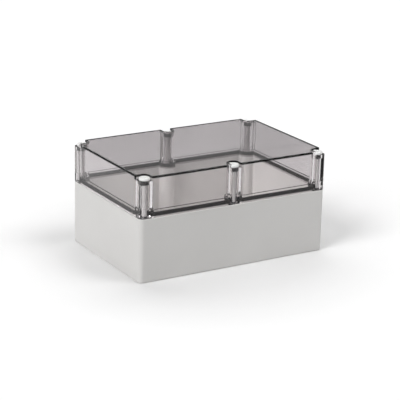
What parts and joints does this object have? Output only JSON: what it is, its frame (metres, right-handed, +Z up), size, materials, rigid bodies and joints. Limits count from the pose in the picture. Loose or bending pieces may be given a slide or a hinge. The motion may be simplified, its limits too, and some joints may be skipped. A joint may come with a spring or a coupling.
{
  "type": "electrical enclosure",
  "caption": "Rectangular moulded electrical enclosure: light-grey base, clear smoke-grey lid closing on a seal, captive cover screws in open notches.",
  "frame": {"origin": "middle of the underside", "axes": "+X along the length, front on -Y, +Z up through the lid"},
  "size_m": [0.24, 0.16, 0.12],
  "materials": {
    "grey_shell": "light-grey moulded polycarbonate, fine matt grain",
    "clear_cover": "clear smoke-grey moulded polycarbonate, polished",
    "foam_seal": "black foamed seal",
    "screw_moulding": "near-white moulded screw plastic",
    "ring_rubber": "black moulded rubber",
    "keeper_moulding": "dark moulded ring",
    "insert_brass": "turned brass"
  },
  "bodies": {
    "base": {"base": "grey_shell", "threaded_insert_front_left": "insert_brass", "threaded_insert_front_middle": "insert_brass", "threaded_insert_front_right": "insert_brass", "threaded_insert_rear_left": "insert_brass", "threaded_insert_rear_middle": "insert_brass", "threaded_insert_rear_right": "insert_brass"},
    "lid": {"lid": "clear_cover", "gasket": "foam_seal"},
    "ring_front_left": {"sealing_ring_front_left": "ring_rubber"},
    "screw_front_left": {"cover_screw_front_left": "screw_moulding", "retaining_ring_front_left": "keeper_moulding"},
    "ring_front_middle": {"sealing_ring_front_middle": "ring_rubber"},
    "screw_front_middle": {"cover_screw_front_middle": "screw_moulding", "retaining_ring_front_middle": "keeper_moulding"},
    "ring_front_right": {"sealing_ring_front_right": "ring_rubber"},
    "screw_front_right": {"cover_screw_front_right": "screw_moulding", "retaining_ring_front_right": "keeper_moulding"},
    "ring_rear_left": {"sealing_ring_rear_left": "ring_rubber"},
    "screw_rear_left": {"cover_screw_rear_left": "screw_moulding", "retaining_ring_rear_left": "keeper_moulding"},
    "ring_rear_middle": {"sealing_ring_rear_middle": "ring_rubber"},
    "screw_rear_middle": {"cover_screw_rear_middle": "screw_moulding", "retaining_ring_rear_middle": "keeper_moulding"},
    "ring_rear_right": {"sealing_ring_rear_right": "ring_rubber"},
    "screw_rear_right": {"cover_screw_rear_right": "screw_moulding", "retaining_ring_rear_right": "keeper_moulding"}
  },
  "joints": [
    {"name": "lid_lift", "type": "slide", "parent": "base", "child": "lid", "axis": [0, 0, 1], "range_m": [0, 0.08]},
    {"name": "screw_rise_front_left", "type": "slide", "parent": "lid", "child": "ring_front_left", "axis": [0, 0, 1], "range_m": [0, 0.008]},
    {"name": "screw_turn_front_left", "type": "hinge", "parent": "ring_front_left", "child": "screw_front_left", "pos_m": [-0.112, -0.073, 0.115], "axis": [0, 0, 1], "range_deg": [0, 2880]},
    {"name": "screw_rise_front_middle", "type": "slide", "parent": "lid", "child": "ring_front_middle", "axis": [0, 0, 1], "range_m": [0, 0.008]},
    {"name": "screw_turn_front_middle", "type": "hinge", "parent": "ring_front_middle", "child": "screw_front_middle", "pos_m": [0, -0.073, 0.115], "axis": [0, 0, 1], "range_deg": [0, 2880]},
    {"name": "screw_rise_front_right", "type": "slide", "parent": "lid", "child": "ring_front_right", "axis": [0, 0, 1], "range_m": [0, 0.008]},
    {"name": "screw_turn_front_right", "type": "hinge", "parent": "ring_front_right", "child": "screw_front_right", "pos_m": [0.112, -0.073, 0.115], "axis": [0, 0, 1], "range_deg": [0, 2880]},
    {"name": "screw_rise_rear_left", "type": "slide", "parent": "lid", "child": "ring_rear_left", "axis": [0, 0, 1], "range_m": [0, 0.008]},
    {"name": "screw_turn_rear_left", "type": "hinge", "parent": "ring_rear_left", "child": "screw_rear_left", "pos_m": [-0.112, 0.073, 0.115], "axis": [0, 0, 1], "range_deg": [0, 2880]},
    {"name": "screw_rise_rear_middle", "type": "slide", "parent": "lid", "child": "ring_rear_middle", "axis": [0, 0, 1], "range_m": [0, 0.008]},
    {"name": "screw_turn_rear_middle", "type": "hinge", "parent": "ring_rear_middle", "child": "screw_rear_middle", "pos_m": [0, 0.073, 0.115], "axis": [0, 0, 1], "range_deg": [0, 2880]},
    {"name": "screw_rise_rear_right", "type": "slide", "parent": "lid", "child": "ring_rear_right", "axis": [0, 0, 1], "range_m": [0, 0.008]},
    {"name": "screw_turn_rear_right", "type": "hinge", "parent": "ring_rear_right", "child": "screw_rear_right", "pos_m": [0.112, 0.073, 0.115], "axis": [0, 0, 1], "range_deg": [0, 2880]}
  ],
  "couplings": [
    {"joint": "screw_turn_front_left", "follows": "screw_rise_front_left", "rad_per_m": 6283.2},
    {"joint": "screw_turn_front_middle", "follows": "screw_rise_front_middle", "rad_per_m": 6283.2},
    {"joint": "screw_turn_front_right", "follows": "screw_rise_front_right", "rad_per_m": 6283.2},
    {"joint": "screw_turn_rear_left", "follows": "screw_rise_rear_left", "rad_per_m": 6283.2},
    {"joint": "screw_turn_rear_middle", "follows": "screw_rise_rear_middle", "rad_per_m": 6283.2},
    {"joint": "screw_turn_rear_right", "follows": "screw_rise_rear_right", "rad_per_m": 6283.2}
  ]
}
